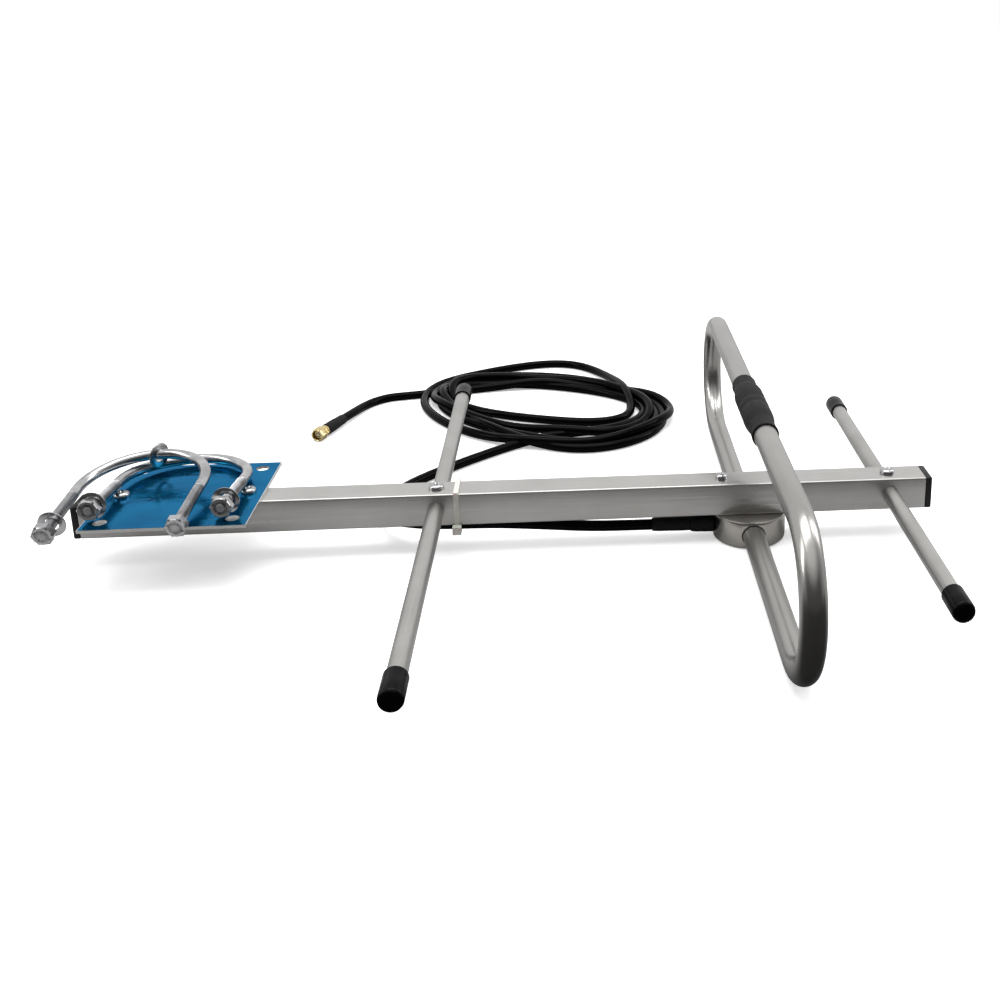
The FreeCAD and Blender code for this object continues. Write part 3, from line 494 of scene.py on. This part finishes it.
# ---------------------------------------------------------------- boom, plate and elements
def make_boom():
    bm = bmesh.new()
    made = bmesh.ops.create_cube(bm, size=1)
    size = Matrix.Diagonal((BOOM_LENGTH, BOOM_SIDE, BOOM_SIDE, 1))
    bmesh.ops.transform(bm, matrix=at(BOOM_MIDDLE, 0, BOOM_AXIS) @ size, verts=made["verts"])
    long_edges = [e for e in bm.edges if abs(e.verts[0].co.x - e.verts[1].co.x) > 0.1]
    bmesh.ops.bevel(
        bm, geom=long_edges, offset=0.9 * MM, segments=4, profile=0.5, affect="EDGES", material=-1)
    ends = [f for f in bm.faces if abs(f.normal.x) > 0.9]
    bmesh.ops.inset_individual(bm, faces=ends, thickness=1.5 * MM)
    rims = []
    for face in ends:
        rims.extend(face.edges)
    bmesh.ops.delete(bm, geom=ends, context="FACES_ONLY")
    bmesh.ops.bridge_loops(bm, edges=rims)
    add_piece(bm, "boom", BOOM_FINISH, ["boom_tube"], smooth=25)


def make_boom_plugs():
    for node, low, high in (("boom_cap_rear", -56.3, -52.5), ("boom_cap_front", 397.5, 401.3)):
        bm = bmesh.new()
        rounded_block(bm, (low * MM, -9 * MM, -19.5 * MM), (high * MM, 9 * MM, BOOM_TOP), 0.9 * MM)
        inner, outer = (-52.6, -40.5) if low < 0 else (385.5, 397.6)
        rounded_block(bm, (inner * MM, -7.4 * MM, -17.9 * MM), (outer * MM, 7.4 * MM, -3.1 * MM), 0.5 * MM)
        add_piece(bm, node.replace("_", " "), PLUG_PLASTIC, [node])


def make_elements():
    for name, place, half in (("reflector", 131, 186), ("director", 378, 138)):
        bm = bmesh.new()
        tube = [(3.5, -half), (4.5, -half), (4.5, half), (3.5, half)]
        turned(bm, [(r * MM, y * MM) for r, y in tube], at(place * MM, 0, BOOM_AXIS, ALONG_Y), ring=True)
        add_piece(bm, name + " tube", ELEMENT_FINISH, [name + "_tube"])
        for side, sign in (("near", -1), ("far", 1)):
            bm = bmesh.new()
            cap = [
                (0, 18), (3.3, 18), (4.4, 17.75), (5.2, 17.1), (5.5, 16.1), (5.5, 8), (5.45, 1.2), (5.5, 0.7),
                (5.5, 0.2), (5.35, 0), (4.52, 0), (4.52, 15.9), (0, 15.9),
            ]
            turn = ALONG_Y if sign > 0 else Matrix.Rotation(math.pi / 2, 4, "X")
            turned(
                bm, [(r * MM, a * MM) for r, a in cap],
                at(place * MM, sign * (half - 16) * MM, BOOM_AXIS, turn))
            add_piece(bm, name + " cap " + side, VINYL, [name + "_cap_" + side])


def pan_head(bm, width, tall, place, recess=1.9, depth=1.3):
    """A domed screw head with a four-lobed driver recess, standing on its seat."""
    half = width / 2
    profile = [
        (0, tall - depth), (recess * 0.35, tall - depth), (recess * 0.55, tall - depth * 0.6),
        (recess, tall - 0.12),
        (recess * 1.12, tall), (half * 0.72, tall * 0.93), (half * 0.93, tall * 0.72), (half, tall * 0.42),
        (half, 0.12), (half - 0.15, 0), (0, 0),
    ]
    marked = len(bm.verts)
    turned(bm, [(r * MM, a * MM) for r, a in profile], Matrix(), steps=48)
    bm.verts.ensure_lookup_table()
    fresh = bm.verts[marked:]
    for corner in fresh:
        away = math.hypot(corner.co.x, corner.co.y)
        if 0.00001 < away < recess * 1.05 * MM and corner.co.z > (tall - depth) * 1.02 * MM:
            angle = math.atan2(corner.co.y, corner.co.x)
            squeeze = 0.42 + 0.58 * abs(math.cos(2 * angle)) ** 1.5
            corner.co.x *= squeeze
            corner.co.y *= squeeze
    bmesh.ops.transform(bm, matrix=place, verts=fresh)


def shank(bm, width, length, place):
    """A threaded shank below a head, with a point."""
    half = width / 2
    profile = [(0, -length), (half * 0.35, -length + 0.6), (half * 0.75, -length + 1.6)]
    height = -length + 2
    while height < -1:
        profile.extend([(half * 0.74, height), (half * 0.98, height + 0.35), (half * 0.74, height + 0.7)])
        height += 1.1
    profile.extend([(half * 0.8, -0.5), (half * 0.8, 0), (0, 0)])
    turned(bm, [(r * MM, a * MM) for r, a in profile], place, steps=20)


def make_screws():
    sets = (
        ("reflector screw", "reflector_screw", [(131, -1.5)], 8.2, 2.6, 3.9, 10),
        ("director screw", "director_screw", [(378, -1.5)], 8.2, 2.6, 3.9, 10),
        ("plate screws", "plate_screws", [(-32.5, 0.15), (32.5, 0.15)], 8.2, 2.6, 3.9, 10),
        ("feed box screws", "feed_box_screws", [(285.3, -1.5), (316.7, -1.5)], 6.4, 2.8, 2.9, 22.3),
    )
    for name, node, spots, head, tall, thread, length in sets:
        bm = bmesh.new()
        for turn, (x, z) in enumerate(spots):
            place = at(x * MM, 0, z * MM, Matrix.Rotation(0.5 + 0.6 * turn, 4, "Z"))
            pan_head(bm, head, tall, place, recess=head * 0.24)
            shank(bm, thread, length, place)
        add_piece(bm, name, ZINC, [node], smooth=40)


# ---------------------------------------------------------------- dipole and feed box
def make_dipole():
    for side, sign, start, end in (("near", -1, 4, -12.25), ("far", 1, 4, -11.75)):
        bm = bmesh.new()
        begin = at(DIPOLE_X, sign * start * MM, DIPOLE_LOW, ALONG_Y)
        first = Vector((0, sign * 140 * MM, 0))
        centre = (DIPOLE_X, sign * 144 * MM, (DIPOLE_LOW + DIPOLE_HIGH) / 2)
        second = Vector((0, end * MM - sign * 144 * MM, 0))
        bent_rod(bm, DIPOLE_RADIUS, begin, (first, second), centre, (1, 0, 0), sign * math.pi, sides=48, steps=56)
        add_piece(bm, "dipole half " + side, DIPOLE_FINISH, ["dipole_half_" + side])
    bm = bmesh.new()
    sleeve = [
        (6.05, 0), (6.6, 0), (6.75, 0.8), (6.65, 3), (6.7, 10), (6.9, 13), (7.6, 16.5), (7.85, 19), (7.86, 26),
        (7.84, 35), (7.6, 36), (7.86, 37), (7.84, 43), (7.58, 44), (7.84, 45.2), (7.86, 52), (7.8, 57),
        (7.55, 59.6), (6.95, 63), (6.75, 66), (6.72, 72), (6.7, 75.2), (6.95, 76.2), (6.95, 77.6),
        (6.6, 78), (6.05, 78),
    ]
    turned(
        bm, [(r * MM, a * MM) for r, a in sleeve],
        at(DIPOLE_X, 27 * MM, DIPOLE_HIGH, Matrix.Rotation(math.pi / 2, 4, "X")), steps=64, ring=True)
    add_piece(bm, "dipole sleeve", SHRINK, ["dipole_sleeve"], smooth=60)


def make_feed_box():
    cup = [
        (0, 0), (17.6, 0), (19.0, 0.35), (19.75, 1.1), (20, 2.3), (20, 14.4), (19.75, 15.0), (18.9, 15.0),
        (18.5, 14.6), (18.5, 1.6), (18.1, 1.2), (0, 1.2),
    ]
    bm = bmesh.new()
    turned(bm, [(r * MM, a * MM) for r, a in cup], at(DIPOLE_X, 0, FLOOR), steps=96)
    box = add_piece(bm, "feed box cup", BOX_FINISH, ["feed_box_cup"])
    drill = bmesh.new()
    for place, radius, deep in (
            (at(DIPOLE_X, -25 * MM, DIPOLE_LOW, ALONG_Y), 6.45, 50),
            (at(278 * MM, 0, DIPOLE_LOW, ALONG_X), 3.1, 8)):
        rod = [(0, 0), (radius, 0), (radius, deep), (0, deep)]
        turned(drill, [(r * MM, a * MM) for r, a in rod], place, steps=48)
    bmesh.ops.remove_doubles(drill, verts=drill.verts, dist=0.0000005)
    bmesh.ops.recalc_face_normals(drill, faces=drill.faces)
    cutter_mesh = bpy.data.meshes.new("drill")
    drill.to_mesh(cutter_mesh)
    drill.free()
    cutter = bpy.data.objects.new("drill", cutter_mesh)
    bpy.context.scene.collection.objects.link(cutter)
    cut = box.modifiers.new("holes", "BOOLEAN")
    cut.object = cutter
    cut.operation = "DIFFERENCE"
    cut.solver = "EXACT"
    drilled = bpy.data.meshes.new_from_object(box.evaluated_get(bpy.context.evaluated_depsgraph_get()))
    box.modifiers.clear()
    box.data = drilled
    bpy.data.objects.remove(cutter)

    bm = bmesh.new()
    lid = [
        (0, -1.9), (18.2, -1.9), (18.4, -1.7), (18.4, -1), (19.5, -1), (19.9, -0.85), (20, -0.5), (19.9, -0.15),
        (19.5, 0), (0, 0),
    ]
    turned(bm, [(r * MM, a * MM) for r, a in lid], at(DIPOLE_X, 0, BOOM_FLOOR), steps=96)
    add_piece(bm, "feed box lid", BOX_FINISH, ["feed_box_lid"])


def make_shrinks():
    bm = bmesh.new()
    wide = [
        (3.05, 0), (4.8, 0), (5.1, 0.6), (5.05, 4), (4.9, 7), (4.9, 9.5), (4.7, 11.5), (4.2, 12.7), (3.05, 13),
    ]
    turned(
        bm, [(r * MM, a * MM) for r, a in wide],
        at(281 * MM, 0, DIPOLE_LOW, Matrix.Rotation(-math.pi / 2, 4, "Y")), steps=40, ring=True)
    add_piece(bm, "wide shrink tube", SHRINK, ["feed_shrink_wide"], smooth=60)
    bm = bmesh.new()
    thin = [(3.05, 0), (4.0, 0), (4.0, 6), (3.9, 12), (3.85, 17), (3.7, 20), (3.5, 20.9), (3.05, 21)]
    turned(
        bm, [(r * MM, a * MM) for r, a in thin],
        at(268 * MM, 0, DIPOLE_LOW, Matrix.Rotation(-math.pi / 2, 4, "Y")), steps=40, ring=True)
    add_piece(bm, "thin shrink tube", SHRINK, ["feed_shrink_thin"], smooth=60)


# ---------------------------------------------------------------- U-bolts, nuts and washers
def lying(x, y, z, yaw, pitch, roll=0.0):
    turn = (
        Matrix.Rotation(math.radians(yaw), 4, "Z") @ Matrix.Rotation(math.radians(pitch), 4, "X")
        @ Matrix.Rotation(math.radians(roll), 4, "Y"))
    return at(x * MM, y * MM, z * MM, turn)


LOWER = lying(-4.2, -36.0, 7.65, -1.7, -2.88)
UPPER = lying(-22.9, -47.8, 1.6, -2.5, 8.0, -3.0)
HALF_PITCH = 32.5 * MM
LEG = 44 * MM
THREAD = 38


def on_leg(pose, side, along):
    return pose @ at(side * HALF_PITCH, along * MM, 0, ALONG_Y)


def make_ubolt(name, node, pose, body):
    bm = bmesh.new()
    bare = LEG - THREAD * MM
    begin = at(-HALF_PITCH, THREAD * MM, 0, ALONG_Y)
    bent_rod(
        bm, 2.82 * MM, begin, (Vector((0, bare, 0)), Vector((0, -bare, 0))), (0, LEG, 0), (0, 0, 1), -math.pi,
        pose, sides=32, steps=48)
    plain = len(bm.faces)
    for side in (-1, 1):
        profile = [(0, 0.1), (1.9, 0.1), (2.35, 0.45)]
        height = 0.6
        while height < THREAD - 0.9:
            profile.extend([(2.42, height), (2.9, height + 0.5)])
            height += 1.0
        profile.extend([(2.5, THREAD - 0.3), (2.82, THREAD + 0.2), (0, THREAD + 0.2)])
        turned(bm, [(r * MM, a * MM) for r, a in profile], on_leg(pose, side, 0), steps=28)
    bm.faces.ensure_lookup_table()
    for face in bm.faces[plain:]:
        face.material_index = 1
    piece = add_piece(bm, name, ZINC, [node], body, smooth=30)
    # The threaded legs take the darker zinc, which is painted shade between the ribs.
    piece.data.materials.append(SHADED_THREAD)


def ring_loop(bm, radius, height, six_sided=False):
    """A loop of 24 corners, round or drawn out to a hexagon with this distance from centre to flat."""
    made = bmesh.ops.create_circle(bm, segments=24, radius=radius, matrix=Matrix.Translation((0, 0, height)))
    if six_sided:
        for corner in made["verts"]:
            angle = math.atan2(corner.co.y, corner.co.x) % (math.pi / 3) - math.pi / 6
            corner.co.x /= math.cos(angle)
            corner.co.y /= math.cos(angle)
    return list({edge for corner in made["verts"] for edge in corner.link_edges})


def hexagon_nut(bm, flats, tall, bore, chamfer, place, mouth=0.25 * MM):
    """Six flats between two round chamfered faces, with a bore through."""
    loops = [
        ring_loop(bm, flats * 0.485, 0), ring_loop(bm, flats / 2, chamfer, True),
        ring_loop(bm, flats / 2, tall - chamfer, True), ring_loop(bm, flats * 0.485, tall),
        ring_loop(bm, bore + mouth, tall), ring_loop(bm, bore, tall - mouth),
        ring_loop(bm, bore, mouth), ring_loop(bm, bore + mouth, 0),
    ]
    corners = list({corner for loop in loops for edge in loop for corner in edge.verts})
    for first, second in zip(loops, loops[1:] + loops[:1]):
        bmesh.ops.bridge_loops(bm, edges=first + second)
    bmesh.ops.transform(bm, matrix=place, verts=corners)


def washer(bm, place):
    profile = [
        (3.5, 0.15), (3.65, 0), (6.65, 0), (6.95, 0.15), (7.0, 0.6), (6.85, 0.95), (6.55, 1.2), (3.7, 1.2),
        (3.5, 1.0),
    ]
    turned(bm, [(r * MM, a * MM) for r, a in profile], place, steps=48, ring=True)


def make_fixings():
    make_ubolt("lower U-bolt", "ubolt_lower", LOWER, "lower_ubolt")
    make_ubolt("upper U-bolt", "ubolt_upper", UPPER, "upper_ubolt")
    for which, pose, side in (
            ("lower_left", LOWER, -1), ("lower_right", LOWER, 1),
            ("upper_left", UPPER, -1), ("upper_right", UPPER, 1)):
        bm = bmesh.new()
        hexagon_nut(bm, 10 * MM, 5 * MM, 2.95 * MM, 0.5 * MM, on_leg(pose, side, 0.2), mouth=0.6 * MM)
        add_piece(bm, "nut " + which, ZINC, ["nut_" + which], which + "_nut", smooth=25)
    for which, pose, side, along, lift in (
            ("lower_left", LOWER, -1, 6.4, 0.5), ("lower_right", LOWER, 1, 9.2, 0.5),
            ("upper_left", UPPER, -1, 11.7, -0.5)):
        bm = bmesh.new()
        washer(bm, at(0, 0, lift * MM) @ on_leg(pose, side, along))
        add_piece(bm, "washer " + which, ZINC, ["washer_" + which], which + "_washer", smooth=40)
    bm = bmesh.new()
    around = math.radians(1.8)
    bow = at(-HALF_PITCH * math.sin(around), LEG + HALF_PITCH * math.cos(around), 0)
    askew = Matrix.Rotation(math.radians(-23), 4, "Z") @ Matrix.Rotation(math.pi / 2, 4, "Y")
    washer(bm, at(0, 0, -0.5 * MM) @ UPPER @ bow @ askew @ at(0, 0, -0.6 * MM))
    add_piece(bm, "loose washer", ZINC, ["washer_loose"], "loose_washer", smooth=40)


# ---------------------------------------------------------------- plug
def make_plug():
    way = Vector((-0.36, -0.933, 0)).normalized()
    rear = Vector((46.5, 193, -31.1)) * MM
    turn = way.to_track_quat("Z", "Y").to_matrix().to_4x4()

    def on_plug(along):
        return at(*(rear + way * along * MM), turn)

    parts = []
    bm = bmesh.new()
    boot = [
        (3.05, 0), (3.3, 0), (3.4, 0.5), (3.5, 6), (3.65, 8.5), (3.8, 10), (3.85, 16), (3.9, 20.8), (3.75, 21.7),
        (3.5, 22), (3.47, 22), (3.47, 9), (3.05, 9),
    ]
    turned(bm, [(r * MM, a * MM) for r, a in boot], on_plug(0), steps=40, ring=True)
    parts.append(add_piece(bm, "plug boot", SHRINK, ["plug_boot"], smooth=60))
    bm = bmesh.new()
    shell = [
        (2.06, 0), (3.3, 0), (3.5, 0.2), (3.5, 2.3), (3.3, 2.5), (2.6, 2.5), (2.6, 8.9), (2.5, 9), (2.06, 9),
    ]
    turned(bm, [(r * MM, a * MM) for r, a in shell], on_plug(22), steps=40, ring=True)
    parts.append(add_piece(bm, "plug body", GOLD, ["plug_body"]))
    bm = bmesh.new()
    hexagon_nut(bm, 8 * MM, 1.75 * MM, 2.65 * MM, 0.45 * MM, on_plug(24.8))
    hexagon_nut(bm, 8 * MM, 6.4 * MM, 3.2 * MM, 0.5 * MM, on_plug(26.4))
    nut = add_piece(bm, "plug nut", GOLD, ["plug_nut"], "plug_ring", smooth=25)
    parts.append(nut)
    for node in ("plug_ferrule", "plug_insulator", "plug_pin"):
        parts.append(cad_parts[node])
    return parts


# ---------------------------------------------------------------- the rest keep their design mesh
def paint_nodes():
    finishes = {
        "mast_plate": SHEET_FINISH, "plate_film": FILM, "dipole_coupler": SHEET_FINISH, "feed_box_nuts": ZINC,
        "feed_spacer": WHITE_PLASTIC, "terminal_lugs": COPPER, "terminal_screws": ZINC, "core_wire": COPPER,
        "braid_wire": COPPER, "cable_tie": NYLON, "plug_ferrule": GOLD, "plug_insulator": WHITE_PLASTIC,
        "plug_pin": GOLD,
    }
    for node, finish in finishes.items():
        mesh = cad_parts[node].data
        mesh.materials.clear()
        mesh.materials.append(finish)


def make_floor():
    bm = bmesh.new()
    bmesh.ops.create_grid(bm, x_segments=1, y_segments=1, size=6)
    bmesh.ops.translate(bm, vec=(0, 0, FLOOR), verts=bm.verts)
    mesh = bpy.data.meshes.new("floor")
    bm.to_mesh(mesh)
    bm.free()
    floor = bpy.data.objects.new("floor", mesh)
    finish, shader, tree = new_finish("paper floor", (0.42, 0.42, 0.42), 0.0, 0.9)
    place = tree.nodes.new("ShaderNodeTexCoord")
    split = tree.nodes.new("ShaderNodeSeparateXYZ")
    # Painted shade: for every ray but the camera's, the floor is dark in front of the antenna. Undersides and
    # front faces then pick up a dark reflection and little bounce, while the camera still sees the floor white.
    painted_shade_in_front = tree.nodes.new("ShaderNodeMapRange")
    painted_shade_in_front.inputs["From Min"].default_value = -0.17
    painted_shade_in_front.inputs["From Max"].default_value = -0.1
    painted_shade_in_front.inputs["To Min"].default_value = 0.03
    painted_shade_in_front.inputs["To Max"].default_value = 0.44
    tree.links.new(place.outputs["Object"], split.inputs["Vector"])
    tree.links.new(split.outputs["Y"], painted_shade_in_front.inputs["Value"])
    shader.inputs["Specular IOR Level"].default_value = 0.1
    seen = tree.nodes.new("ShaderNodeLightPath")
    white = tree.nodes.new("ShaderNodeMix")
    white.data_type = "RGBA"
    tree.links.new(painted_shade_in_front.outputs["Result"], white.inputs["A"])
    white.inputs["B"].default_value = (0.95, 0.95, 0.95, 1)
    tree.links.new(seen.outputs["Is Camera Ray"], white.inputs["Factor"])
    tree.links.new(white.outputs["Result"], shader.inputs["Base Color"])
    glow = tree.nodes.new("ShaderNodeMath")
    glow.operation = "MULTIPLY"
    glow.inputs[1].default_value = 0.38
    tree.links.new(seen.outputs["Is Camera Ray"], glow.inputs[0])
    shader.inputs["Emission Color"].default_value = (1, 1, 1, 1)
    tree.links.new(glow.outputs[0], shader.inputs["Emission Strength"])
    floor.data.materials.append(finish)
    bpy.context.scene.collection.objects.link(floor)


set_camera()
set_light()
make_floor()
cable, cable_length = make_cable()
make_boom()
make_boom_plugs()
make_elements()
make_screws()
make_dipole()
make_feed_box()
make_shrinks()
make_fixings()
plug_parts = make_plug()
paint_nodes()
